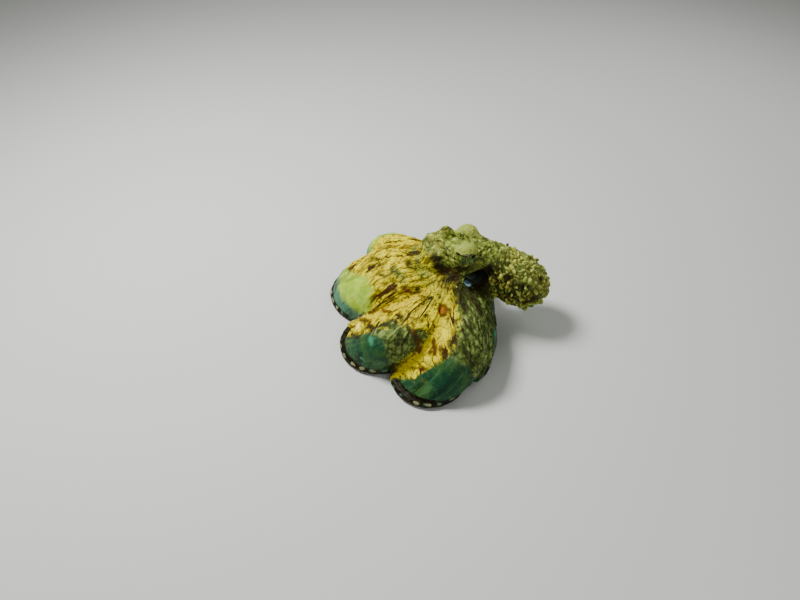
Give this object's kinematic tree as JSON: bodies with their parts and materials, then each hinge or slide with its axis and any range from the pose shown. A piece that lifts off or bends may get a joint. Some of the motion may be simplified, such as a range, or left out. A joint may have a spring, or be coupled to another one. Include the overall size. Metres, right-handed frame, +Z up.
{
  "type": "octopus model",
  "caption": "Day octopus crouched on the floor with its web ballooned out, arm tips curled beneath and the mantle drooping behind the raised head; a still, life-size model.",
  "frame": {"origin": "middle of the footprint, on the floor", "axes": "+X runs from the front arms back to the mantle, +Y to the animal's right, +Z up"},
  "size_m": [0.3754, 0.3706, 0.1789],
  "materials": {
    "mottled_skin": "moist, warty skin, olive green mottled with brown",
    "banded_arm_skin": "moist skin, brown with pale ovals along the hem",
    "web_skin": "thin moist skin, yellow at the crown and dark green towards the hem",
    "eye": "wet, golden olive with a level slit pupil"
  },
  "bodies": {
    "root": {"mantle": "mottled_skin", "head": "mottled_skin", "funnel": "web_skin", "eye_left": "eye", "eye_right": "eye", "arm_r4_base": "banded_arm_skin", "arm_r4_middle": "banded_arm_skin", "arm_r4_tip": "banded_arm_skin", "arm_r3_base": "banded_arm_skin", "arm_r3_middle": "banded_arm_skin", "arm_r3_tip": "banded_arm_skin", "arm_r2_base": "banded_arm_skin", "arm_r2_middle": "banded_arm_skin", "arm_r2_tip": "banded_arm_skin", "arm_r1_base": "banded_arm_skin", "arm_r1_middle": "banded_arm_skin", "arm_r1_tip": "banded_arm_skin", "arm_l1_base": "banded_arm_skin", "arm_l1_middle": "banded_arm_skin", "arm_l1_tip": "banded_arm_skin", "arm_l2_base": "banded_arm_skin", "arm_l2_middle": "banded_arm_skin", "arm_l2_tip": "banded_arm_skin", "arm_l3_base": "banded_arm_skin", "arm_l3_middle": "banded_arm_skin", "arm_l3_tip": "banded_arm_skin", "arm_l4_base": "banded_arm_skin", "arm_l4_middle": "banded_arm_skin", "arm_l4_tip": "banded_arm_skin", "web_r4_r3": "web_skin", "web_r3_r2": "web_skin", "web_r2_r1": "web_skin", "web_r1_l1": "web_skin", "web_l1_l2": "web_skin", "web_l2_l3": "web_skin", "web_l3_l4": "web_skin", "web_l4_r4": "web_skin"}
  },
  "joints": []
}
